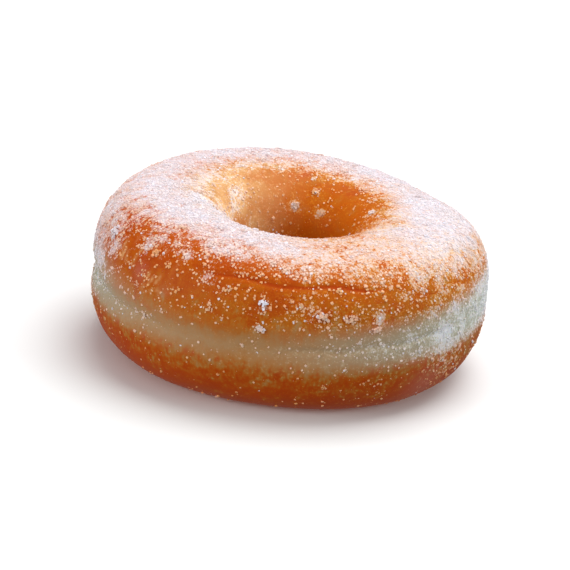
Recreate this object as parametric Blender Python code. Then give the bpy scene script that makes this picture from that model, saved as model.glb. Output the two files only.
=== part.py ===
"""A sugared ring doughnut: one ring of risen, fried dough with sugar stuck to its crust.

The dough browned on two sides and stayed pale in a band round its waist, where it floated.
Its section is a rounded square, flat underneath where it rests. Slow waves make it uneven.
The largest lumps of sugar are fused to the crust, so the doughnut is a single solid.
"""
from math import atan2, copysign, cos, hypot, pi, radians, sin, tau
from random import Random

import bmesh
import bpy
from mathutils import Matrix, Vector

# ---- driving dimensions, in metres ------------------------------------------------------
ACROSS = 0.090                   # nominal width of the ring
HOLE = 0.024                     # narrowest width of its hole
HEIGHT = 0.0365                  # from the surface it rests on to the crown
REST_CUT = 0.00045               # how much of the round underside is pressed flat
CROWN_FULLNESS = 2.7             # squareness of the section: 2 is an ellipse
BASE_FULLNESS = 2.45

# Unevenness, as waves round the ring: (waves in a turn, height in metres, crest in degrees)
WIDTH_WAVES = ((3, 0.00029, -17), (5, 0.00025, 12))
HOLE_WAVES = ((2, 0.0005, 35), (3, 0.0003, 80))
CROWN_WAVES = ((1, 0.0008, 144), (2, 0.00035, -51), (3, 0.00036, -18))

# The pale band: the height of its middle over mid-height, its half width and its depth
BAND_MIDDLE = 0.0002
BAND_MIDDLE_WAVES = ((1, 0.0017, 0), (2, 0.0010, 0))
BAND_HALF = 0.0048
BAND_HALF_WAVES = ((1, 0.0009, -10),)
WAIST_DEPTH = 0.0005
WAIST_DEPTH_WAVES = ((1, 0.0004, 180),)

RING_STEPS = 76                  # sections round the ring
SECTION_STEPS = 36               # points round a section
BAND_STEPS = 4                   # of them, the steps from the band's lower edge to its upper one

# Sugar lumps: the ones that stand out, as (azimuth, angle round the section, width)
LUMPS_THAT_STAND_OUT = (
    (-96, 31, 0.0022), (-79, 26, 0.0031), (-71, 25, 0.0033), (-63, 17, 0.0024),
    (-156, 41, 0.0034), (-96, 13, 0.0024), (-111, 22, 0.0020), (-133, 45, 0.0024),
    (91, 141, 0.0026), (76, 128, 0.0022), (19, 123, 0.0027), (66, 142, 0.0023),
)
# and the zones that the rest are spread over, as (count, from angle, to angle, largest width)
LUMP_ZONES = (
    (66, 60, 126, 0.0025),       # crown
    (22, 126, 152, 0.0022),      # rim of the hole
    (36, 24, 60, 0.0023),        # shoulder
    (20, -14, 24, 0.0020),       # pale band
    (8, -44, -14, 0.0018),       # lower crust
)
LUMP_SMALLEST = 0.65             # of a zone's largest width
LUMP_FLATNESS = 0.72             # height of a lump over its width
LUMP_SUNK = 0.10                 # how deep its middle lies, as a share of its width
LUMP_ROUGHNESS = 0.10            # how far its corners stray, as a share of its width
SEED = 4

RING_RADIUS = (ACROSS + HOLE) / 4
HALF_THICK = (ACROSS - HOLE) / 4
HALF_HIGH = (HEIGHT + REST_CUT) / 2
MID_HEIGHT = HALF_HIGH - REST_CUT
AXIS = Vector((-0.00046, -0.00022, 0))   # of the ring: it centres the uneven outline on the origin

CRUST = (0.52, 0.155, 0.018)     # linear colours
PALE_DOUGH = (0.55, 0.38, 0.19)
SUGAR = (0.88, 0.80, 0.77)


def waves(terms, azimuth):
    """Height of a sum of slow waves round the ring."""
    return sum(size * cos(count * (azimuth - radians(crest))) for count, size, crest in terms)


def band(azimuth):
    """Height of the pale band's middle over mid-height, and its half width."""
    middle = BAND_MIDDLE + waves(BAND_MIDDLE_WAVES, azimuth)
    return middle, BAND_HALF + waves(BAND_HALF_WAVES, azimuth)


def follow_band(azimuth, around):
    """Angle round the section, moved so that two rows of the ring's points run along the
    band's edges; the crown and the underside stay where they are."""
    middle, half = band(azimuth)
    lower, upper = atan2(middle - half, HALF_THICK), atan2(middle + half, HALF_THICK)
    edge = BAND_STEPS / 2 * tau / SECTION_STEPS
    if abs(around) <= edge:
        return lower + (upper - lower) * (around / edge + 1) / 2
    if abs(around) >= pi / 2:
        return around
    share = (abs(around) - edge) / (pi / 2 - edge)
    start = upper if around > 0 else lower
    return start + (copysign(pi / 2, around) - start) * share


def surface(azimuth, around):
    """Point of the dough: around is 0 at the waist, a quarter turn at the crown."""
    fullness = CROWN_FULLNESS if sin(around) > 0 else BASE_FULLNESS
    reach = (abs(cos(around) / HALF_THICK) ** fullness
             + abs(sin(around) / HALF_HIGH) ** fullness) ** (-1 / fullness)
    out, up = reach * cos(around), reach * sin(around)
    up += waves(CROWN_WAVES, azimuth) * max(0.0, up / HALF_HIGH)
    outer_share = (1 + out / HALF_THICK) / 2
    out += waves(WIDTH_WAVES, azimuth) * outer_share
    out += waves(HOLE_WAVES, azimuth) * (1 - outer_share)
    if out > 0:
        middle, half = band(azimuth)
        depth = WAIST_DEPTH + waves(WAIST_DEPTH_WAVES, azimuth)
        out -= depth * max(0.0, 1 - ((up - middle) / half) ** 2) ** 2
    radius, height = RING_RADIUS + out, max(0.0, MID_HEIGHT + up)
    return Vector((radius * cos(azimuth), radius * sin(azimuth), height)) + AXIS


def outward(azimuth, around, step=0.01):
    """Direction that the dough's surface faces."""
    along = surface(azimuth + step, around) - surface(azimuth - step, around)
    over = surface(azimuth, around + step) - surface(azimuth, around - step)
    return along.cross(over).normalized()


def material(name, colour, roughness):
    """Principled material of one colour."""
    made = bpy.data.materials.new(name)
    made.use_nodes = True
    shader = made.node_tree.nodes["Principled BSDF"]
    shader.inputs["Base Color"].default_value = (*colour, 1)
    shader.inputs["Roughness"].default_value = roughness
    shader.inputs["Metallic"].default_value = 0.0
    made.diffuse_color = (*colour, 1)
    return made


def torus_angles(point):
    """Azimuth and angle round the section of a point of the plain torus."""
    return atan2(point.y, point.x), atan2(point.z, hypot(point.x, point.y) - RING_RADIUS)


def make_dough(collection):
    """The ring: a torus whose points are moved onto the dough's surface."""
    bpy.ops.mesh.primitive_torus_add(
        major_segments=RING_STEPS, minor_segments=SECTION_STEPS,
        major_radius=RING_RADIUS, minor_radius=HALF_THICK)
    dough = bpy.context.object
    dough.name = dough.data.name = "doughnut"
    dough.data.materials.append(material("fried_crust", CRUST, 0.45))
    dough.data.materials.append(material("pale_band", PALE_DOUGH, 0.6))
    for face in dough.data.polygons:
        in_band = abs(torus_angles(face.center)[1]) < BAND_STEPS / 2 * tau / SECTION_STEPS
        face.material_index = int(in_band)
    for vertex in dough.data.vertices:
        azimuth, around = torus_angles(vertex.co)
        vertex.co = surface(azimuth, follow_band(azimuth, around))
    for user in dough.users_collection:
        user.objects.unlink(dough)
    collection.objects.link(dough)
    return dough


def lump_places(draw):
    """Azimuth, angle round the section and width of every lump, the largest first."""
    places = [(radians(azimuth), radians(around), width)
              for azimuth, around, width in LUMPS_THAT_STAND_OUT]
    golden = pi * (3 - 5 ** 0.5)
    azimuth = 0.0
    for count, low, high, largest in LUMP_ZONES:
        for index in range(count):
            azimuth += golden + draw.uniform(-0.15, 0.15)
            share = (index + draw.uniform(0, 1)) / count
            around = radians(low + (high - low) * share)
            width = largest * draw.uniform(LUMP_SMALLEST, 1)
            places.append(((azimuth + pi) % tau - pi, around, width))
    return sorted(places, key=lambda place: -place[2])


def apart(places, gap=1.15):
    """The lumps that leave room for each other: each later, smaller one gives way."""
    kept = []
    for azimuth, around, width in places:
        point = surface(azimuth, around)
        if all((point - other).length > gap * (width + wide) / 2 for other, wide in kept):
            kept.append((point, width))
            yield azimuth, around, width


def make_lump(collection, place, draw, sugar):
    """A rough lump, half sunk in the crust and turned at random about its outward axis."""
    azimuth, around, width = place
    facing = outward(azimuth, around)
    turn = facing.to_track_quat("Z", "X").to_matrix().to_4x4()
    spin = Matrix.Rotation(draw.uniform(0, tau), 4, "Z")
    shape = bmesh.new()
    bmesh.ops.create_icosphere(shape, subdivisions=1, radius=0.5)
    for corner in shape.verts:
        corner.co += Vector([draw.uniform(-LUMP_ROUGHNESS, LUMP_ROUGHNESS) for _ in range(3)])
        corner.co.z *= LUMP_FLATNESS
    middle = surface(azimuth, around) - facing * LUMP_SUNK * width
    shape.transform(Matrix.Translation(middle) @ turn @ spin @ Matrix.Scale(width, 4))
    mesh = bpy.data.meshes.new("sugar_lump")
    shape.to_mesh(mesh)
    shape.free()
    mesh.materials.append(sugar)
    collection.objects.link(bpy.data.objects.new("sugar_lump", mesh))


def fuse(dough, lumps):
    """Join every lump to the dough in one union, and remove the loose lumps."""
    union = dough.modifiers.new("sugar", "BOOLEAN")
    union.operation = "UNION"
    union.operand_type = "COLLECTION"
    union.collection = lumps
    union.solver = "EXACT"
    union.material_mode = "TRANSFER"
    bpy.context.view_layer.update()
    shown = dough.evaluated_get(bpy.context.evaluated_depsgraph_get())
    fused = bpy.data.meshes.new_from_object(shown)
    dough.modifiers.clear()
    dough.data = fused
    fused.name = "doughnut"
    for lump in list(lumps.objects):
        bpy.data.objects.remove(lump)
    bpy.data.collections.remove(lumps)
    fused.shade_smooth()
    fused.set_sharp_from_angle(angle=radians(35))


for old in list(bpy.data.objects):
    bpy.data.objects.remove(old)

doughnut = bpy.data.collections.new("sugared_ring_doughnut")
sugar_lumps = bpy.data.collections.new("sugar_lumps")
bpy.context.scene.collection.children.link(doughnut)
bpy.context.scene.collection.children.link(sugar_lumps)

ring = make_dough(doughnut)
random_draw = Random(SEED)
sugar = material("sugar", SUGAR, 0.5)
for lump_place in apart(lump_places(random_draw)):
    make_lump(sugar_lumps, lump_place, random_draw, sugar)
fuse(ring, sugar_lumps)
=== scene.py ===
"""Looks of a sugared ring doughnut: fried dough, browned on its two sides and pale round its waist,
with sugar thrown over its crown while it was still moist.

The file follows the doughnut as it is made: the dough ring, the sugar that lies on it, and then
the floor, the light and the camera. Everything is in metres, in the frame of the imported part.
"""

from math import cos, pi, radians, sin, tau
from random import Random

import bmesh
import bpy
import numpy as np
from mathutils import Matrix, Quaternion, Vector, noise


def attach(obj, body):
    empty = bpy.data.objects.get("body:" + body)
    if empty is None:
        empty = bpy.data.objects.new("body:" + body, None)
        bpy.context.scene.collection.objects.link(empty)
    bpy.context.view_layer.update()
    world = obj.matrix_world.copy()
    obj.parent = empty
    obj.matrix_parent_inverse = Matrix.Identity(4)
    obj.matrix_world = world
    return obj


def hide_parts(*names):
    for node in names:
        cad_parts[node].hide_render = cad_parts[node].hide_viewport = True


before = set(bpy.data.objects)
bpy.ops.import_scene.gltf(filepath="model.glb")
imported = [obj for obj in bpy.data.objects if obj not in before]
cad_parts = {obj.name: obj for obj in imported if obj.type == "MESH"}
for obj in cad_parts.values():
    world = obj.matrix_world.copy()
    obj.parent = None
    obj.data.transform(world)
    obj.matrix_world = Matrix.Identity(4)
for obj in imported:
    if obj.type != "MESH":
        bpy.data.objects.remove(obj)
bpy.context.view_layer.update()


# ---- dough ring ---------------------------------------------------------------------------
# A ring of risen wheat dough. It floated in hot fat and was turned once, so its crown and its
# underside are browned and a band round its waist stayed pale. Steam and the fat left its skin
# gently dimpled, creased at the shoulder and puckered along the band.
ACROSS = 0.090                   # the same sizes as the solid's
HOLE = 0.024
HEIGHT = 0.0365
REST_CUT = 0.00045
CROWN_FULLNESS = 2.7             # squareness of the section: 2 is an ellipse
BASE_FULLNESS = 2.45
WIDTH_WAVES = ((3, 0.00029, -17), (5, 0.00025, 12))       # (waves in a turn, height, crest in degrees)
HOLE_WAVES = ((2, 0.0005, 35), (3, 0.0003, 80))
CROWN_WAVES = ((1, 0.0008, 144), (2, 0.00035, -51), (3, 0.00036, -18))
BAND_MIDDLE = 0.0002             # of the pale band, over mid-height
BAND_MIDDLE_WAVES = ((1, 0.0017, 0), (2, 0.0010, 0))
BAND_HALF = 0.0048
BAND_HALF_WAVES = ((1, 0.0009, -10),)
WAIST_DEPTH = 0.0005
WAIST_DEPTH_WAVES = ((1, 0.0004, 180),)

RING_RADIUS = (ACROSS + HOLE) / 4
HALF_THICK = (ACROSS - HOLE) / 4
HALF_HIGH = (HEIGHT + REST_CUT) / 2
MID_HEIGHT = HALF_HIGH - REST_CUT
AXIS = np.array((-0.00046, -0.00022, 0))
RING_STEPS = 440
SECTION_STEPS = 222

# Relief of the skin. Puckers, creases and stretched patches are placed by the azimuth of their
# middle and by half their length round the ring, in degrees.
DIMPLES = ((0.014, 0.00022), (0.005, 0.00010), (0.0022, 0.00003))    # (width, depth)
WRINKLE_WIDTH = 0.0013           # of the fine wrinkles in the band
WRINKLE_DEPTH = 0.00008
UPRIGHT = (1, 1, 0.22)           # scale of their noise, which makes them taller than wide
LINE_WANDER = 0.0009             # how far puckers and creases stray from their height
WANDER_WIDTH = 0.009
PUCKERS = ((-143, 22), (-60, 34), (35, 30), (150, 38))    # along the band, where the skin drew in
PUCKER_DEPTH = 0.00035
PUCKER_WIDTH = 0.0006
CREASES = ((-88, 31, 46), (100, 30, 38))                  # and angle round the section
CREASE_DEPTH = 0.00034
CREASE_WIDTH = 0.00060
FAR_OFF = 9.0                    # widths from any crease
STRETCHES = ((-138, 16, 34, 20), (40, 20, 30, 18), (165, 14, 30, 16))   # and half their height
STRETCH_DEPTH = 0.00010
PRESSED_FLAT = (0.0002, 0.003)   # heights between which the relief fades in

# How browned the hole's wall looks round the ring, partly real browning and partly painted light and shade:
# paler on the left, where it faces the light, and browner on the right. It counts as crust so many half
# widths from the band.
WALL_BROWNING_AND_LIGHT = ((-170, 0.4), (-140, 1.0), (-60, 1.9), (60, 1.8), (105, 1.2), (140, 0.7), (160, 0.5))
WALL_BLEND = (-0.004, 0.006)     # from the section's middle towards the hole, where the wall starts
WALL_MIDDLE = 0.7                # share of it at mid-height
WALL_ENDS = 0.15                 # and its growth for each half width away from that


def waves(terms, azimuth):
    """Height of a sum of slow waves round the ring."""
    return sum(size * np.cos(count * (azimuth - radians(crest))) for count, size, crest in terms)


def band(azimuth):
    """Height of the pale band's middle over mid-height, and its half width."""
    middle = BAND_MIDDLE + waves(BAND_MIDDLE_WAVES, azimuth)
    return middle, BAND_HALF + waves(BAND_HALF_WAVES, azimuth)


def surface(azimuth, around):
    """Points of the solid's smooth skin: around is 0 at the waist, a quarter turn at the crown."""
    fullness = np.where(np.sin(around) > 0, CROWN_FULLNESS, BASE_FULLNESS)
    reach = (np.abs(np.cos(around) / HALF_THICK) ** fullness
             + np.abs(np.sin(around) / HALF_HIGH) ** fullness) ** (-1 / fullness)
    out, up = reach * np.cos(around), reach * np.sin(around)
    up = up + waves(CROWN_WAVES, azimuth) * np.maximum(0, up / HALF_HIGH)
    outer_share = (1 + out / HALF_THICK) / 2
    swell = waves(WIDTH_WAVES, azimuth) * outer_share + waves(HOLE_WAVES, azimuth) * (1 - outer_share)
    middle, half = band(azimuth)
    depth = WAIST_DEPTH + waves(WAIST_DEPTH_WAVES, azimuth)
    waist = depth * np.maximum(0, 1 - ((up - middle) / half) ** 2) ** 2
    radius = RING_RADIUS + out + swell - np.where(out + swell > 0, waist, 0)
    height = np.maximum(0, MID_HEIGHT + up)
    return np.stack((radius * np.cos(azimuth), radius * np.sin(azimuth), height), -1) + AXIS


def outward(azimuth, around, step=0.01):
    """Directions that the smooth skin faces."""
    along = surface(azimuth + step, around) - surface(azimuth - step, around)
    over = surface(azimuth, around + step) - surface(azimuth, around - step)
    facing = np.cross(along, over)
    return facing / np.linalg.norm(facing, axis=-1, keepdims=True)


def soft_noise(points, width, place=0.0):
    """Smooth noise between about -1 and 1, with features as wide as given; place picks a part of it."""
    return np.array([noise.noise(point) for point in points / width + place])


def rise(low, high, value):
    """0 below low, 1 above high, and a smooth slope between."""
    share = np.clip((value - low) / (high - low), 0, 1)
    return share * share * (3 - 2 * share)


def turn_apart(azimuth, middle):
    """Unsigned angle between an azimuth and the one given in degrees."""
    return np.abs((azimuth - radians(middle) + pi) % tau - pi)


def along_line(azimuth, middle, half_length, whole=0.6):
    """1 on a line round the ring, up to a share of its half length, and from there down to 0."""
    return 1 - rise(whole, 1.0, turn_apart(azimuth, middle) / radians(half_length))


def round_ring(values, azimuth):
    """A value given at a few azimuths, in degrees, and blended in between."""
    places, heights = zip(*values)
    return np.interp(np.degrees(azimuth), places, heights, period=360)


def band_offset(azimuth, around, points):
    """Height over the band's middle in half widths of the band; the hole's wall counts as crust."""
    middle, half = band(azimuth)
    offset = (points[..., 2] - MID_HEIGHT - middle) / half
    wall = rise(*WALL_BLEND, -np.cos(around) * HALF_THICK)
    side = np.where(offset < 0, -1, 1)
    # On the hole's wall this is partly browning and partly painted light and shade.
    browned_and_lit = side * round_ring(WALL_BROWNING_AND_LIGHT, azimuth) * (WALL_MIDDLE + WALL_ENDS * np.abs(offset))
    return offset * (1 - wall) + browned_and_lit * wall


def line_wander(points):
    """How far puckers and creases stray from their height, in metres."""
    return LINE_WANDER * soft_noise(points, WANDER_WIDTH, 5.7)


def crease_place(azimuth, around, points):
    """Distance from the nearest crease in widths of a crease, below 1 only on one."""
    wander = line_wander(points)
    nearest = 0 * azimuth + FAR_OFF
    for place, half_length, high in CREASES:
        narrowed = np.maximum(along_line(azimuth, place, half_length, 0.5), 0.05)
        across = ((around - radians(high)) * HALF_HIGH + wander) / CREASE_WIDTH / narrowed
        nearest = np.where(np.abs(across) < np.abs(nearest), across, nearest)
    return nearest


def spots(points, places):
    """Soft round spots, each given as (azimuth, angle round the section, radius, strength)."""
    total = np.zeros(len(points))
    for azimuth, around, radius, strength in places:
        away = np.linalg.norm(points - surface(radians(azimuth), radians(around)), axis=-1)
        total += strength * np.exp(-(away / radius) ** 2)
    return total


def skin_relief(azimuth, around, points, offset):
    """How far the skin stands out of the smooth surface: dimples, wrinkles, puckers and creases."""
    relief = sum(depth * soft_noise(points, width, 7.3) for width, depth in DIMPLES)
    in_band = 1 - rise(0.8, 1.3, np.abs(offset))
    relief += in_band * WRINKLE_DEPTH * soft_noise(points * UPRIGHT, WRINKLE_WIDTH, 3.1)
    across = (offset * band(azimuth)[1] + line_wander(points)) / PUCKER_WIDTH
    for place, half_length in PUCKERS:
        relief -= PUCKER_DEPTH * along_line(azimuth, place, half_length) * np.exp(-across ** 2)
    relief -= CREASE_DEPTH * np.exp(-crease_place(azimuth, around, points) ** 2)
    return relief * rise(*PRESSED_FLAT, points[..., 2])


def stretch_marks(azimuth, around, points):
    """Where the skin stretched into fine lines, upright and a little curved: 0 to 1."""
    lean = azimuth * 3.2 + 0.35 * np.sin(around * 2.5)
    lines = soft_noise(np.stack((lean * 9, around * 1.1, 0 * around), -1), 1.0, 2.6)
    lines = 1 - rise(0.0, 0.16, np.abs(lines))
    patch = sum(along_line(azimuth, place, half_length, 0.4)
                * (1 - rise(0.4, 1.0, np.abs(around - radians(high)) / radians(half_height)))
                for place, half_length, high, half_height in STRETCHES)
    return lines * np.clip(patch, 0, 1) * rise(-0.2, 0.2, soft_noise(points, 0.004, 9.2))


def in_order(faces):
    """Faces given by their corners' numbers, each from its lowest one on, and sorted.

    Spinning and bevelling leave the faces in another order each time, and draws go by that order.
    """
    lowest = [face.index(min(face)) for face in faces]
    return sorted(face[start:] + face[:start] for face, start in zip(faces, lowest))


def spin_ring():
    """The ring as a plain torus: a circle spun round the hole's axis."""
    ring = bmesh.new()
    upright = Matrix.Translation((RING_RADIUS, 0, 0)) @ Matrix.Rotation(pi / 2, 4, "X")
    bmesh.ops.create_circle(ring, segments=SECTION_STEPS, radius=HALF_THICK, matrix=upright)
    bmesh.ops.spin(ring, geom=ring.verts[:] + ring.edges[:], cent=(0, 0, 0), axis=(0, 0, 1),
                   angle=tau, steps=RING_STEPS, use_merge=True)
    bmesh.ops.recalc_face_normals(ring, faces=ring.faces[:])
    ring.verts.index_update()
    faces = in_order([[corner.index for corner in face.verts] for face in ring.faces])
    mesh = bpy.data.meshes.new("dough_ring")
    mesh.from_pydata([corner.co[:] for corner in ring.verts], [], faces)
    ring.free()
    return mesh


def read(collection, field, width):
    """A field of every item of a mesh, as an array with one row for each item."""
    values = np.empty(len(collection) * width)
    collection.foreach_get(field, values)
    return values.reshape(-1, width) if width > 1 else values


def store(mesh, name, values, domain="POINT"):
    """Keep one number for each point or face of a mesh, for its material to read."""
    kept = mesh.attributes.new(name, "FLOAT", domain)
    kept.data.foreach_set("value", values.ravel().astype(np.float32))


ring_mesh = spin_ring()
torus = read(ring_mesh.vertices, "co", 3)
ring_azimuth = np.arctan2(torus[:, 1], torus[:, 0])
ring_around = np.arctan2(torus[:, 2], np.hypot(torus[:, 0], torus[:, 1]) - RING_RADIUS)
smooth_points = surface(ring_azimuth, ring_around)
ring_offset = band_offset(ring_azimuth, ring_around, smooth_points)
ring_relief = skin_relief(ring_azimuth, ring_around, smooth_points, ring_offset)
ring_stretch = stretch_marks(ring_azimuth, ring_around, smooth_points)

# Where the sugar stuck: thick on the crown, thin below its edge, thicker again on one side.
# Each list goes round the ring as (azimuth in degrees, value), and values in between are blended.
SUGAR_OUTER_EDGE = ((-170, 55), (-140, 64), (-100, 65), (-60, 57), (-35, 46), (-12, 50), (20, 50),
                    (60, 46), (100, 52), (150, 54))       # angle round the section
SUGAR_INNER_EDGE = ((-178, 108), (-160, 146), (-145, 140), (-125, 137), (-110, 130), (-85, 124),
                    (-60, 116), (-30, 113), (0, 109), (35, 105), (90, 103), (140, 104), (165, 100))
CROWN_COVER = ((-175, 0.86), (-140, 0.84), (-100, 0.86), (-70, 0.54), (-40, 0.71), (-10, 0.93),
               (40, 0.88), (90, 0.84), (150, 0.84))
SIDE_COVER = ((-175, 0.52), (-158, 0.40), (-146, 0.13), (-130, 0.05), (-113, 0.08), (-95, 0.09),
              (-75, 0.10), (-50, 0.14), (-25, 0.24), (0, 0.42), (30, 0.42), (70, 0.25), (110, 0.20),
              (150, 0.32))
BAND_COVER = ((-175, 0.22), (-150, 0.05), (-110, 0.017), (-75, 0.03), (-45, 0.26), (-20, 0.54),
              (10, 0.52), (40, 0.34), (70, 0.18), (100, 0.12), (150, 0.20))
WALL_COVER = ((-170, 0.50), (-145, 0.44), (-110, 0.14), (-60, 0.05), (-20, 0.16), (8, 0.15), (30, 0.04),
              (80, 0.04), (110, 0.08), (140, 0.12), (165, 0.16))
MELTED = ((-180, 0.35), (-140, 0.20), (-110, 0.45), (-85, 0.9), (-20, 1.0), (10, 0.9), (60, 0.6),
          (150, 0.5))            # share of the sugar that turned into a film on the crust
LOW_COVER = 0.007                # of the crust under the band
LOW_SHARE = 0.15                 # of the side's cover that reaches down there
MOST_COVER = 0.94
PATCHINESS = 0.75                # how much the cover of the sides varies, as a share of it
PATCH_WIDTH = 0.0045
CREASE_CLEARED = 0.75            # share of the sugar that is missing in a crease
RAGGED_EDGE = ((7, 0.008, 1.9), (5, 0.003, 4.4))   # (degrees, width, place in the noise)
OUTER_SOFTNESS = radians(22)
INNER_SOFTNESS = radians(21)
SUGAR_THICKNESS = 0.00030        # of the coat, which is part of the solid's size
SPILLS = (                       # small heaps, as (azimuth, angle round the section, radius, cover)
    (-79, 24, 0.0024, 0.22), (-75, 20, 0.0018, 0.18), (-70, 24, 0.0020, 0.22), (-114, 41, 0.0016, 0.30),
    (-96, 30, 0.0010, 0.40), (-98, 12, 0.0018, 0.15), (-123, 52, 0.0016, 0.40), (-151, 34, 0.0022, 0.50),
    (-138, 46, 0.0018, 0.40), (-62, 26, 0.0016, 0.20), (115, 34, 0.0026, 0.35), (58, 30, 0.0022, 0.40),
    (165, 26, 0.0020, 0.35), (-128, -34, 0.0050, 0.03), (-34, -18, 0.0060, 0.22), (-146, -24, 0.0040, 0.03),
    (-60, -30, 0.0045, 0.07),
    (91, 141, 0.0012, 0.50), (76, 128, 0.0011, 0.45), (66, 142, 0.0012, 0.45), (19, 123, 0.0013, 0.40),
    (70, 140, 0.0034, 0.12), (150, 128, 0.0026, 0.35), (164, 136, 0.0022, 0.30),
)
LINE_COVER = 0.12                # along the puckers in the band
LINE_WIDTH = 0.0010
CLUMPS = ((0.0110, 0.60), (0.0060, 0.40), (0.0028, 0.60), (0.0014, 0.95))   # (width, share of them)
CLUMP_HEIGHT = 0.00024
CLUMPING = (0.8, 1.7)            # how far they move the cover, on the scale of its odds: thin, thick
FILM_EVENNESS = 0.50             # share of the clumps that melting evened out

# Colours that change round the ring
# The band's grey is partly pale dough and partly a painted cool reflection, strongest on the right.
PALLOR_AND_REFLECTION = ((-165, 0.80), (-135, 0.20), (-100, 0.04), (-80, 0.20), (-65, 0.42), (-35, 0.75), (0, 1.0),
          (45, 0.8), (90, 0.3), (140, 0.3))               # how grey the band is
PALLOR_REACH = ((-180, 3.0), (-155, 3.0), (-135, 1.9), (-115, 1.3), (-40, 1.3), (0, 1.5), (60, 1.3),
                (140, 1.5))      # how far up, in half widths of the band
PALLOR_DOWN = 1.3                # and how far down
# The gold on the left of the hole is partly golden crust and partly painted light, where the wall faces the
# light.
GOLDEN_LIT_WALL = ((-175, 0.70), (-145, 0.4), (-115, 0.0), (80, 0.0), (115, 0.36), (150, 0.74))
GOLDEN_WALL_STARTS = (90, 112)   # angles round the section between which its gold comes in
GOLDEN_WALL_ENDS = (146, 172)    # and goes out again, later where it is strong
GOLDEN_STRETCHES = 0.8           # how golden the stretched lines are
# Pink spots on the crust; the two on the front-left shoulder are a painted highlight.
BLUSHES_AND_HIGHLIGHT = ((-136, 29, 0.0020, 0.9), (-126, 23, 0.0016, 0.5), (60, 24, 0.0022, 0.7),
           (-42, -36, 0.0055, 0.8))   # (azimuth, angle round the section, radius, strength)


def band_pallor_and_reflection(azimuth, around, offset):
    """How grey and greenish the skin is, partly pale dough and partly a painted cool reflection: in the band,
    a way up the shoulder on one side, and not in the hole.
    """
    reach = np.where(offset > 0, round_ring(PALLOR_REACH, azimuth), PALLOR_DOWN)
    in_band = (1 - rise(0.3, reach, np.abs(offset))) * rise(-0.2, 0.2, np.cos(around))
    return round_ring(PALLOR_AND_REFLECTION, azimuth) * in_band


def line_cover(azimuth, around, offset):
    """Sugar that caught in the puckers along the band."""
    line = np.exp(-(offset * band(azimuth)[1] / LINE_WIDTH) ** 2) * (np.cos(around) > 0)
    return LINE_COVER * line * sum(along_line(azimuth, place, half_length)
                                   for place, half_length in PUCKERS)


def sugar_cover(azimuth, around, points, offset):
    """Share of the skin that sugar covers."""
    uneven = sum(radians(size) * soft_noise(points, width, place) for size, width, place in RAGGED_EDGE)
    outer = np.radians(round_ring(SUGAR_OUTER_EDGE, azimuth)) + uneven
    inner = np.radians(round_ring(SUGAR_INNER_EDGE, azimuth)) + uneven
    on_crown = rise(outer - OUTER_SOFTNESS, outer + OUTER_SOFTNESS, around)
    on_crown *= 1 - rise(inner - INNER_SOFTNESS, inner + INNER_SOFTNESS, around)
    over_edge = around > (outer + inner) / 2
    in_band = 1 - rise(0.7, 1.2, np.abs(offset))
    side = round_ring(SIDE_COVER, azimuth) * (1 - in_band) + round_ring(BAND_COVER, azimuth) * in_band
    low = LOW_COVER + LOW_SHARE * (side - LOW_COVER) * rise(-0.8, 0, around)
    side = np.where(offset > 0, side, side * in_band + low * (1 - in_band))
    wall = round_ring(WALL_COVER, azimuth)
    side = np.where(over_edge | (np.abs(around) > pi / 2), wall, side)
    side *= 1 + PATCHINESS * soft_noise(points, PATCH_WIDTH, 8.8)
    cover = side + (round_ring(CROWN_COVER, azimuth) - side) * on_crown
    cover *= 1 - CREASE_CLEARED * np.exp(-(crease_place(azimuth, around, points) / 1.4) ** 2)
    return np.clip(cover + spots(points, SPILLS) + line_cover(azimuth, around, offset), 0, MOST_COVER)


def clumps(points):
    """How the sugar gathered: about -1 where it is thin and 1 where it is heaped."""
    return sum(share * soft_noise(points, width, 6.7) for width, share in CLUMPS)


def clumped(cover, heaped):
    """The cover, higher on the clumps and lower between them."""
    thin, thick = CLUMPING
    odds = cover / (1 - cover) * np.exp((thin + (thick - thin) * rise(0.1, 0.4, cover)) * heaped)
    return odds / (1 + odds)


mean_cover = sugar_cover(ring_azimuth, ring_around, smooth_points, ring_offset)
melted = round_ring(MELTED, ring_azimuth)
melted += (1 - melted) * rise(radians(95), radians(115), ring_around)
on_top = rise(radians(48), radians(66), ring_around)
in_band = (1 - rise(0.7, 1.3, np.abs(ring_offset))) * (np.cos(ring_around) > 0)
filmy = melted * np.maximum(on_top, in_band)
ring_clumps = clumps(smooth_points) * (1 - FILM_EVENNESS * filmy)
ring_cover = clumped(mean_cover, ring_clumps)
ring_pallor_and_reflection = band_pallor_and_reflection(ring_azimuth, ring_around, ring_offset)
ring_relief -= STRETCH_DEPTH * ring_stretch + SUGAR_THICKNESS * ring_cover
ring_relief += CLUMP_HEIGHT * ring_clumps * rise(0.3, 0.8, mean_cover)
ring_points = smooth_points + outward(ring_azimuth, ring_around) * ring_relief[:, None]
ring_points[:, 2] = np.maximum(0, ring_points[:, 2])
ring_mesh.vertices.foreach_set("co", ring_points.ravel())
ring_mesh.shade_smooth()
ring_mesh.update()
store(ring_mesh, "band_offset", ring_offset)
store(ring_mesh, "pallor_and_reflection", ring_pallor_and_reflection)
store(ring_mesh, "sugar_cover", ring_cover)
starts, ends = GOLDEN_WALL_STARTS, GOLDEN_WALL_ENDS
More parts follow.
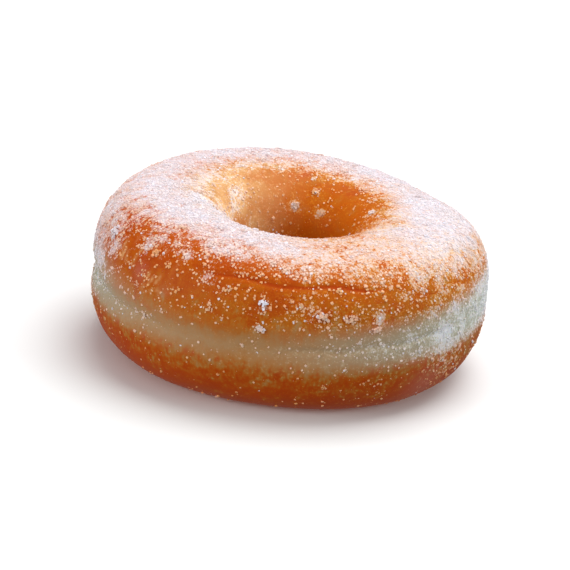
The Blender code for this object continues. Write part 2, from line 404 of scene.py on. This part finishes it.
# Golden crust and painted light on the left of the hole's wall.
golden_lit_wall = round_ring(GOLDEN_LIT_WALL, ring_azimuth) * rise(*np.radians(starts), ring_around)
golden_lit_wall *= 1 - rise(*ends, np.degrees(ring_around) - 30 * golden_lit_wall)
golden_lit_wall *= np.clip(1 + 0.9 * soft_noise(smooth_points, 0.0035, 6.1), 0, 1.3)
store(ring_mesh, "golden", np.maximum(GOLDEN_STRETCHES * ring_stretch, golden_lit_wall))
store(ring_mesh, "melted", melted)
store(ring_mesh, "deep", rise(radians(112), radians(145), ring_around))
store(ring_mesh, "crease", crease_place(ring_azimuth, ring_around, smooth_points))
store(ring_mesh, "blush_and_highlight", spots(smooth_points, BLUSHES_AND_HIGHLIGHT))


def new_node(tree, kind, inputs=(), **settings):
    """A shader node with its settings and inputs given; an input may be another node's output."""
    made = tree.nodes.new(kind)
    for name, value in settings.items():
        setattr(made, name, value)
    for name, value in dict(inputs).items():
        if isinstance(value, bpy.types.NodeSocket):
            tree.links.new(value, made.inputs[name])
        else:
            made.inputs[name].default_value = value
    return made


def stored(tree, name):
    """Output of a node that reads a number kept on the mesh."""
    return new_node(tree, "ShaderNodeAttribute", attribute_name=name).outputs["Fac"]


def sums(tree, operation, *values):
    """Output of a Math node; a value may be a number or another node's output."""
    return new_node(tree, "ShaderNodeMath", enumerate(values), operation=operation).outputs[0]


def graded(tree, value, low, high):
    """Output of a Map Range node that takes low to 0 and high to 1."""
    inputs = {"Value": value, "From Min": low, "From Max": high}
    return new_node(tree, "ShaderNodeMapRange", inputs).outputs["Result"]


def speckle(tree, width, detail=2.0, tall=1.0):
    """Noise on the object's own coordinates, with features as wide and as many times taller."""
    place = tree.nodes.get("Texture Coordinate") or tree.nodes.new("ShaderNodeTexCoord")
    scale = (1 / width, 1 / width, 1 / (width * tall))
    scaled = new_node(tree, "ShaderNodeVectorMath", {0: place.outputs["Object"], 1: scale},
                      operation="MULTIPLY").outputs[0]
    return new_node(tree, "ShaderNodeTexNoise", {"Vector": scaled, "Scale": 1.0, "Detail": detail}).outputs[0]


def colour_steps(tree, value, steps):
    """Output of a colour ramp through (place, linear colour) steps."""
    ramp = tree.nodes.new("ShaderNodeValToRGB")
    stops = ramp.color_ramp.elements
    while len(stops) < len(steps):
        stops.new(0.5)
    for stop, (place, colour) in zip(stops, steps):
        stop.position = place
        stop.color = (*colour, 1)
    tree.links.new(value, ramp.inputs["Fac"])
    return ramp.outputs["Color"]


def new_material(name, finish):
    """A material, its tree and its shader, with the numbers of a finish set on the shader."""
    made = bpy.data.materials.new(name)
    made.use_nodes = True
    shader = made.node_tree.nodes["Principled BSDF"]
    for socket, value in finish.items():
        shader.inputs[socket].default_value = value
    return made, made.node_tree, shader


def blended(tree, share, first, second, blend="MIX"):
    """Output of a Mix node of two colours, each a linear colour or another node's output."""
    mix = new_node(tree, "ShaderNodeMix", data_type="RGBA", blend_type=blend)
    for socket, value in zip((mix.inputs[0], mix.inputs[6], mix.inputs[7]), (share, first, second)):
        if isinstance(value, bpy.types.NodeSocket):
            tree.links.new(value, socket)
        elif isinstance(value, tuple):
            socket.default_value = (*value, 1)
        else:
            socket.default_value = value
    return mix.outputs[2]


CRUST_COLOURS = (      # (half widths of the band from its middle, linear colour)
    (-3.0, (0.41, 0.050, 0.001)), (-2.0, (0.42, 0.062, 0.001)), (-1.3, (0.43, 0.099, 0.006)),
    (-0.8, (0.41, 0.150, 0.026)), (-0.05, (0.41, 0.215, 0.086)), (0.4, (0.42, 0.182, 0.050)),
    (0.8, (0.44, 0.134, 0.013)), (1.3, (0.45, 0.110, 0.004)), (2.4, (0.46, 0.090, 0.002)),
    (3.2, (0.43, 0.068, 0.001)),
)
RED_CRUST = (0.40, 0.046, 0.001)
# Pink of those spots, a painted highlight where they lie on the front-left shoulder.
BLUSH_AND_HIGHLIGHT = (0.49, 0.130, 0.078)
HOLE_ORANGE = (0.57, 0.115, 0.002)
# Greenish grey of the band: partly pale dough, partly a painted cool reflection.
GREY_BAND_AND_REFLECTION = (0.425, 0.435, 0.35)
# Gold of the stretched lines, and of the hole's wall, where it is partly painted light.
GOLDEN_MARK_AND_LIT_WALL = (0.70, 0.37, 0.15)
SUGAR = (0.785, 0.755, 0.832)
# Where wet sugar lies the crust is lighter and golden, partly its colour and partly painted glints.
SUGARED_AND_GLINTING = 0.42                   # power of the crust's colour where melted sugar lies on it
# Mottling of the crust, as (width, times taller, strength)
BROWNING = ((0.006, 1, 3.0), (0.0022, 1, 3.6), (0.0009, 1, 2.2), (0.0006, 7, 1.8))
REDDEST = 0.62                   # share of the red crust where it is reddest
MOST_BLUSH_AND_HIGHLIGHT = 0.75                # share of the blush at the middle of a spot
MOST_ORANGE = 0.7                # and of the orange deep in the hole
# The golden specks are partly wet sugar and partly painted glints.
GOLDEN_FROM = 1.02               # of the cover and a fine speckle together, where wet sugar starts
GOLDEN_TO = 1.45
FILM_FROM = 1.22                 # and where the dry film over it starts
FILM_TO = 1.82
FILM_WHITE = 0.84                # how white the film is where it is thickest
CRUST_FINISH = {"Specular IOR Level": 0.07, "Subsurface Weight": 0.12,
                "Subsurface Radius": (1.0, 0.45, 0.2), "Subsurface Scale": 0.002}


def crust_colour(tree):
    """Colour of the crust: from mottled deep orange through gold to the pale band."""
    offset = stored(tree, "band_offset")
    pallor_and_reflection = stored(tree, "pallor_and_reflection")
    in_crust = graded(tree, sums(tree, "ABSOLUTE", offset), 0.4, 1.6)
    mottled = sums(tree, "MULTIPLY_ADD", in_crust, 0.8, 0.2)
    browned_and_lit = offset
    for width, tall, amount in BROWNING:
        cloud = sums(tree, "SUBTRACT", speckle(tree, width, 2.0, tall), 0.5)
        cloud = sums(tree, "MULTIPLY", cloud, mottled)
        browned_and_lit = sums(tree, "MULTIPLY_ADD", cloud, amount, browned_and_lit)
    low, high = CRUST_COLOURS[0][0], CRUST_COLOURS[-1][0]
    steps = [((place - low) / (high - low), colour) for place, colour in CRUST_COLOURS]
    colour = colour_steps(tree, graded(tree, browned_and_lit, low, high), steps)
    redness = graded(tree, speckle(tree, 0.007, 3.0), 0.50, 0.64)
    on_crust = graded(tree, sums(tree, "ABSOLUTE", browned_and_lit), 1.0, 1.5)
    redness = sums(tree, "MULTIPLY", redness, sums(tree, "MULTIPLY", on_crust, REDDEST))
    return blended(tree, pallor_and_reflection, blended(tree, redness, colour, RED_CRUST), GREY_BAND_AND_REFLECTION)


def fried_dough():
    """Crust that goes from deep orange through gold to the pale band, under a film of sugar, with golden
    specks that are partly wet sugar and partly painted glints.
    """
    made, tree, shader = new_material("fried_dough", CRUST_FINISH)
    # The crust is darker and redder along the creases.
    in_crease = graded(tree, sums(tree, "ABSOLUTE", stored(tree, "crease")), 1.1, 0.3)
    colour = blended(tree, in_crease, crust_colour(tree), RED_CRUST)
    # Pink spots, two of them a painted highlight on the shoulder.
    colour = blended(tree, sums(tree, "MULTIPLY", stored(tree, "blush_and_highlight"), MOST_BLUSH_AND_HIGHLIGHT), colour, BLUSH_AND_HIGHLIGHT)
    colour = blended(tree, sums(tree, "MULTIPLY", stored(tree, "deep"), MOST_ORANGE), colour, HOLE_ORANGE)
    colour = blended(tree, stored(tree, "golden"), colour, GOLDEN_MARK_AND_LIT_WALL)
    grains = sums(tree, "ADD", speckle(tree, 0.00040, 2.0), stored(tree, "sugar_cover"))
    grains = sums(tree, "MULTIPLY_ADD", speckle(tree, 0.0009, 2.0), 0.8, grains)
    golden = graded(tree, grains, GOLDEN_FROM, GOLDEN_TO)
    golden = sums(tree, "MULTIPLY", golden, stored(tree, "melted"))
    dusty = graded(tree, grains, FILM_FROM, FILM_TO)
    # Lighter golden specks: partly wet sugar, partly painted glints.
    wet_and_glinting = sums(tree, "MULTIPLY_ADD", golden, SUGARED_AND_GLINTING - 1, 1.0)
    colour = new_node(tree, "ShaderNodeGamma", {"Color": colour, "Gamma": wet_and_glinting}).outputs[0]
    colour = blended(tree, sums(tree, "MULTIPLY", dusty, FILM_WHITE), colour, SUGAR)
    pores = sums(tree, "MULTIPLY_ADD", speckle(tree, 0.0005, 3.0), 0.5, dusty)
    bump = new_node(tree, "ShaderNodeBump", {"Strength": 0.6, "Distance": 0.00012, "Height": pores})
    tree.links.new(colour, shader.inputs["Base Color"])
    tree.links.new(bump.outputs["Normal"], shader.inputs["Normal"])
    tree.links.new(sums(tree, "MULTIPLY_ADD", dusty, 0.2, 0.5), shader.inputs["Roughness"])
    return made


dough_ring = bpy.data.objects.new("dough_ring", ring_mesh)
bpy.context.scene.collection.objects.link(dough_ring)
ring_mesh.materials.append(fried_dough())
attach(dough_ring, "root")
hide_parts("doughnut")


# ---- sugar --------------------------------------------------------------------------------
# Coarse white sugar, thrown on while the crust was warm. Its crystals are small blocks with
# worn edges, some long and some flat, with finer broken ones between them. They stuck part
# sunk in the crust, thickest on the crown.
WHITE_CRYSTALS = 0.05            # share that is white also where a crystal lies alone
WHITE_CLEARNESS = 0.2            # of the clearness of the others
CLEAR_TINT = 0.36                # power of the crust's colour in a clear crystal
CLEAR_WARMTH = (1.05, 0.83, 0.78)   # and a tint of its own, except over the band
CLEAR_ALONE = 0.92               # how much of the crust's colour a crystal lets through alone
THINNING = 0.80                  # power of the uncovered share, for how it falls in the coat
# The spread from facet to facet makes some facets whiter than others: painted glints.
CLEAR_SPREAD = (0.05, 0.02)      # from crystal to crystal, and from facet to facet
TILT = 0.20                      # radians, of the flat side of a crystal out of the skin
FILM_SHARE = 0.5                 # of the sugar where it melted, which left no crystals
LOWEST = -0.36                   # of a crystal's middle over the skin, in its own widths
HIGHEST = 0.14
SUNK = 0.08                      # how much deeper that lies where the sugar is thick
SUGAR_FINISH = {"Roughness": 0.3, "IOR": 1.56, "Specular IOR Level": 0.25, "Subsurface Weight": 0.3,
                "Subsurface Radius": (1.0, 0.8, 0.7), "Subsurface Scale": 0.0003}


def under_sugar(tree, colour, clearness):
    """Sugar over a colour: white where it isn't clear, and a bright tint of the colour where it is."""
    tint = new_node(tree, "ShaderNodeGamma", {"Color": colour, "Gamma": CLEAR_TINT}).outputs[0]
    pallor_and_reflection = stored(tree, "pallor_and_reflection")
    warm = sums(tree, "SUBTRACT", 1.0, pallor_and_reflection)
    return blended(tree, clearness, SUGAR, blended(tree, warm, tint, CLEAR_WARMTH, "MULTIPLY"))


def sugar_crystals():
    """White where the crystals lie thick, and clear enough alone to let the crust's colour through."""
    made, tree, shader = new_material("sugar", SUGAR_FINISH)
    colour = under_sugar(tree, crust_colour(tree), stored(tree, "clearness"))
    tree.links.new(colour, shader.inputs["Base Color"])
    return made


def block(widths, worn=0.0):
    """Points and triangles of one crystal: a block of the given widths with worn edges."""
    shape = bmesh.new()
    bmesh.ops.create_cube(shape, size=1.0)
    bmesh.ops.scale(shape, vec=widths, verts=shape.verts[:])
    if worn:
        bmesh.ops.bevel(shape, geom=shape.edges[:], offset=worn, segments=1, profile=0.5,
                        affect="EDGES", material=-1)
    points, triangles = read_out(shape)
    return points, np.array(in_order(triangles.tolist())) if worn else triangles


def shard():
    """Points and triangles of a broken crystal with eight sides."""
    shape = bmesh.new()
    bmesh.ops.create_uvsphere(shape, u_segments=4, v_segments=2, radius=0.6)
    bmesh.ops.scale(shape, vec=(1.0, 0.8, 0.75), verts=shape.verts[:])
    return read_out(shape)


def chip():
    """Points and triangles of a splinter with four sides."""
    shape = bmesh.new()
    bmesh.ops.create_cone(shape, cap_ends=True, segments=3, radius1=0.6, radius2=0, depth=0.9)
    return read_out(shape)


def read_out(shape):
    """Points and triangles of a small bmesh, which is then freed."""
    bmesh.ops.triangulate(shape, faces=shape.faces[:])
    shape.verts.index_update()
    points = np.array([corner.co[:] for corner in shape.verts])
    triangles = np.array([[corner.index for corner in face.verts] for face in shape.faces])
    shape.free()
    return points, triangles


def lying(facing, draw):
    """Turning matrices that lay crystals about flat on the skin, turned at random."""
    up = facing + draw.normal(0, TILT, facing.shape)
    up /= np.linalg.norm(up, axis=1, keepdims=True)
    side = np.cross(draw.normal(size=facing.shape), up)
    side /= np.linalg.norm(side, axis=1, keepdims=True)
    return np.stack((side, np.cross(up, side), up), -1)


ring_corners = read(ring_mesh.polygons, "vertices", 4).astype(int)
ring_facing = read(ring_mesh.vertices, "normal", 3)
face_area = read(ring_mesh.polygons, "area", 1)
face_cover = ring_cover[ring_corners].mean(1)
face_offset = ring_offset[ring_corners].mean(1)
face_pallor_and_reflection = ring_pallor_and_reflection[ring_corners].mean(1)
face_film = filmy[ring_corners].mean(1)
face_weight = -np.log(1 - face_cover) * face_area * (1 - FILM_SHARE * face_film)


def on_skin(count, draw):
    """Faces of the dough drawn by their cover, with a point on each and the way it faces."""
    faces = draw.choice(len(face_weight), count, p=face_weight / face_weight.sum())
    u, v = draw.random((2, count))
    shares = np.stack(((1 - u) * (1 - v), u * (1 - v), u * v, (1 - u) * v), -1)[..., None]
    corners = ring_corners[faces]
    facing = (ring_facing[corners] * shares).sum(1)
    facing /= np.linalg.norm(facing, axis=1, keepdims=True)
    return faces, (ring_points[corners] * shares).sum(1), facing


def facet_clearness(crystal, cover, draw):
    """How much of the crust's colour every triangle of many crystals lets through, with some facets whiter
    than others as painted glints.
    """
    whole, facet_glint = (draw.uniform(-spread, spread, shape) for spread, shape in
                    zip(CLEAR_SPREAD, ((len(cover), 1), (len(cover), len(crystal[1])))))
    clear = CLEAR_ALONE * (1 - cover[:, None]) ** THINNING + whole + facet_glint
    white = draw.random((len(cover), 1)) < WHITE_CRYSTALS
    return np.clip(np.where(white, WHITE_CLEARNESS * clear, clear), 0, 1)


def joined(name, crystal, places, turns, widths, clearness, offsets, pallor_and_reflection):
    """One mesh of many copies of a crystal, each with its own place, turn and width."""
    points, triangles = crystal
    moved = np.einsum("nij,pj->npi", turns, points) * widths[:, None, None] + places[:, None, :]
    moved[..., 2] = np.maximum(0, moved[..., 2])
    copies = triangles[None] + (np.arange(len(places)) * len(points))[:, None, None]
    mesh = bpy.data.meshes.new(name)
    mesh.from_pydata(moved.reshape(-1, 3).tolist(), [], copies.reshape(-1, 3).tolist())
    store(mesh, "clearness", clearness, "FACE")
    store(mesh, "band_offset", np.repeat(offsets, len(points)))
    store(mesh, "pallor_and_reflection", np.repeat(pallor_and_reflection, len(points)))
    return mesh


def add_sugar(mesh, material):
    """Show a mesh of sugar on the doughnut."""
    piece = bpy.data.objects.new(mesh.name, mesh)
    bpy.context.scene.collection.objects.link(piece)
    mesh.materials.append(material)
    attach(piece, "root")
    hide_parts("doughnut")


sugar_white = sugar_crystals()
SUGAR_KINDS = (     # (name, crystal, count, smallest and largest width)
    ("coarse_crystals", block((1.0, 0.85, 0.75), 0.12), 1200, 0.00052, 0.00080),
    ("cube_crystals", block((1.0, 0.9, 0.85)), 12800, 0.00032, 0.00052),
    ("flat_crystals", block((1.25, 0.8, 0.5)), 12800, 0.00030, 0.00050),
    ("shards", shard(), 19500, 0.00026, 0.00044),
    ("chips", chip(), 38000, 0.00022, 0.00038),
)
for seed, (name, crystal, count, smallest, largest) in enumerate(SUGAR_KINDS):
    draw = np.random.default_rng(seed)
    faces, places, facing = on_skin(count, draw)
    thickness = face_cover[faces]
    widths = draw.uniform(smallest, largest, count)
    lift = (draw.uniform(LOWEST, HIGHEST, count) - SUNK * thickness) * widths
    add_sugar(joined(name, crystal, places + facing * lift[:, None], lying(facing, draw), widths,
                     facet_clearness(crystal, thickness, draw), face_offset[faces],
                     face_pallor_and_reflection[faces]), sugar_white)

# The largest lumps are several crystals that fused together. They stand where the solid has them.
LUMPS_THAT_STAND_OUT = (   # (azimuth, angle round the section, width, whiteness)
    (-96, 31, 0.0022, 1.0), (-79, 26, 0.0031, 0.30), (-71, 25, 0.0033, 0.30), (-63, 17, 0.0024, 0.05),
    (-156, 41, 0.0034, 0.90), (-96, 13, 0.0024, 0.55), (-111, 22, 0.0020, 0.18), (-133, 45, 0.0024, 0.05),
    (91, 141, 0.0026, 0.35), (76, 128, 0.0022, 0.12), (19, 123, 0.0027, 0.75), (66, 142, 0.0023, 0.22),
)
LUMP_ZONES = (             # (count, from angle, to angle, largest width)
    (66, 60, 126, 0.0025), (22, 126, 152, 0.0022), (36, 24, 60, 0.0023), (20, -14, 24, 0.0020),
    (8, -44, -14, 0.0018),
)
LUMP_SMALLEST = 0.65             # of a zone's largest width
LUMP_GAP = 1.15
LUMP_SEED = 4
HOLE_STARTS = radians(120)       # angle round the section
# Of lumps that stand out, of those that do so in the hole, of the others, and of the others there
CRYSTALS_IN_LUMP = (2.6, 4.0, 4.0, 0.8)       # for each square millimetre of its width
LUMP_REACH = (1, 0.75, 1, 1)                  # sideways, as a share of its width
LUMP_HEIGHT = (0.20, 0.10, 0.07, 0.03)        # over the skin, as a share of its width
LUMP_SUNK = (0.03, 0.03, 0.075, 0.075)        # and below it
FINENESS = (1, 0.7, 0.7, 0.7)                 # of its crystals' width
LUMP_CRYSTAL = 0.00042           # width, on average
CRYSTALS_VARY = (0.6, 1.6)
SLIMNESS = (0.5, 0.95)           # least and most, of a lump's shorter width


def lump_places(draw):
    """Azimuth, angle round the section, width and whiteness of every lump, the largest first.

    They are drawn as the solid's are. Only the lumps that stand out have a whiteness of their own.
    """
    places = [(radians(azimuth), radians(around), width, white)
              for azimuth, around, width, white in LUMPS_THAT_STAND_OUT]
    golden = pi * (3 - 5 ** 0.5)
    azimuth = 0.0
    for count, low, high, largest in LUMP_ZONES:
        for index in range(count):
            azimuth += golden + draw.uniform(-0.15, 0.15)
            share = (index + draw.uniform(0, 1)) / count
            around = radians(low + (high - low) * share)
            width = largest * draw.uniform(LUMP_SMALLEST, 1)
            places.append(((azimuth + pi) % tau - pi, around, width, 0))
    return sorted(places, key=lambda place: -place[2])


kept_lumps = []
for azimuth, around, width, white in lump_places(Random(LUMP_SEED)):
    point = surface(azimuth, around)
    if all(np.linalg.norm(point - other[0]) > LUMP_GAP * (width + other[1]) / 2 for other in kept_lumps):
        kept_lumps.append((point, width, azimuth, around, white))

draw = np.random.default_rng(41)
lump_points, lump_widths, lump_azimuths, lump_arounds, lump_whites = (
    np.array(column) for column in zip(*kept_lumps))
lump_facing = outward(lump_azimuths, lump_arounds)
lump_offsets = band_offset(lump_azimuths, lump_arounds, lump_points)
lump_cover = sugar_cover(lump_azimuths, lump_arounds, lump_points, lump_offsets)
lump_cover = clumped(lump_cover, clumps(lump_points))
lump_pallor_and_reflection = band_pallor_and_reflection(lump_azimuths, lump_arounds, lump_offsets)
stand_out = lump_whites > 0
in_hole = lump_arounds > HOLE_STARTS


def by_lump(standing, standing_in_hole, other, other_in_hole):
    """One number for each lump, for the kind that it is."""
    return np.where(stand_out, np.where(in_hole, standing_in_hole, standing),
                    np.where(in_hole, other_in_hole, other))


whiteness = by_lump(lump_whites, lump_whites, lump_cover, 0.0)
in_each = (by_lump(*CRYSTALS_IN_LUMP) * (lump_widths / 0.001) ** 2).astype(int) + 3
owner = np.repeat(np.arange(len(lump_widths)), in_each)
count = len(owner)
across = np.cross(draw.normal(size=(len(lump_widths), 3)), lump_facing)
across /= np.linalg.norm(across, axis=1, keepdims=True)
along = np.cross(across, lump_facing)
turn, reach = draw.uniform(0, tau, count), draw.random(count) ** 0.7 * 0.50
reach *= by_lump(*LUMP_REACH)[owner]
slimness = draw.uniform(*SLIMNESS, len(lump_widths))[owner]
domed = 1 - (reach / 0.55) ** 2
height = by_lump(*LUMP_HEIGHT)[owner] * domed * draw.random(count) - by_lump(*LUMP_SUNK)[owner]
away = (across[owner] * (np.cos(turn) * reach)[:, None] + lump_facing[owner] * height[:, None]
        + along[owner] * (np.sin(turn) * reach * slimness)[:, None])
middles = lump_points[owner] + away * lump_widths[owner][:, None]
widths = LUMP_CRYSTAL * draw.uniform(*CRYSTALS_VARY, count) * by_lump(*FINENESS)[owner]
lump_crystal = block((1.0, 0.85, 0.8))
add_sugar(joined("sugar_lumps", lump_crystal, middles, lying(lump_facing[owner], draw), widths,
                 facet_clearness(lump_crystal, whiteness[owner], draw), lump_offsets[owner],
                 lump_pallor_and_reflection[owner]), sugar_white)


# ---- floor, light and camera --------------------------------------------------------------
# A plain pale floor, soft white light from above on the right and behind, weak windows in front,
# at the right and at the left, and a camera that looks down on the ring from the front.
FLOOR_SIZE = 3.0
FLOOR_FINISH = {"Base Color": (0.86, 0.86, 0.86, 1), "Roughness": 0.9}
LOOK_AT = Vector((0, 0, 0.01802))
CAMERA_DISTANCE = 0.75
CAMERA_ELEVATION = radians(20.19)
CAMERA_ROLL = radians(6.24)
SENSOR = 36.0                    # millimetres
LENS = 208.6
SHIFT = (-0.00961, -0.01479)
SKY = (0.95, 0.97, 1.0)
SKY_STRENGTH = 0.35

floor_shape = bmesh.new()
bmesh.ops.create_grid(floor_shape, x_segments=1, y_segments=1, size=FLOOR_SIZE / 2)
floor_mesh = bpy.data.meshes.new("floor")
floor_shape.to_mesh(floor_mesh)
floor_shape.free()
floor = bpy.data.objects.new("floor", floor_mesh)
bpy.context.scene.collection.objects.link(floor)
floor_mesh.materials.append(new_material("pale_floor", FLOOR_FINISH)[0])
floor.visible_diffuse = False
floor.visible_glossy = False


def soft_light(name, place, size, power, colour):
    """A square light that faces the doughnut."""
    data = bpy.data.lights.new(name, "AREA")
    data.size = size
    data.energy = power
    data.color = colour
    light = bpy.data.objects.new(name, data)
    light.location = place
    light.rotation_euler = (LOOK_AT - Vector(place)).to_track_quat("-Z", "Y").to_euler()
    bpy.context.scene.collection.objects.link(light)


soft_light("overhead", (0.24, 0.28, 0.95), 1.0, 12.4, (1.0, 0.985, 0.98))
soft_light("front_window", (0.10, -1.0, 0.50), 0.8, 1.5, (1.0, 1.0, 1.0))
soft_light("right_window", (0.85, -0.30, 0.30), 0.5, 2.8, (0.85, 1.0, 0.97))
soft_light("left_window", (-0.75, -0.50, 0.22), 0.5, 4.6, (1.0, 1.0, 0.98))

world = bpy.data.worlds.new("studio")
bpy.context.scene.world = world
world.use_nodes = True
world.node_tree.nodes["Background"].inputs["Color"].default_value = (*SKY, 1)
world.node_tree.nodes["Background"].inputs["Strength"].default_value = SKY_STRENGTH

camera_data = bpy.data.cameras.new("camera")
camera_data.sensor_width = SENSOR
camera_data.lens = LENS
camera_data.shift_x, camera_data.shift_y = SHIFT
camera_data.clip_start = 0.05
camera_data.clip_end = 10.0
camera = bpy.data.objects.new("camera", camera_data)
back = Vector((0, -cos(CAMERA_ELEVATION), sin(CAMERA_ELEVATION)))
camera.location = LOOK_AT + back * CAMERA_DISTANCE
looking = (-back).to_track_quat("-Z", "Y")
camera.rotation_mode = "QUATERNION"
camera.rotation_quaternion = looking @ Quaternion((0, 0, 1), CAMERA_ROLL)
bpy.context.scene.collection.objects.link(camera)
bpy.context.scene.camera = camera
bpy.context.scene.view_settings.view_transform = "Standard"
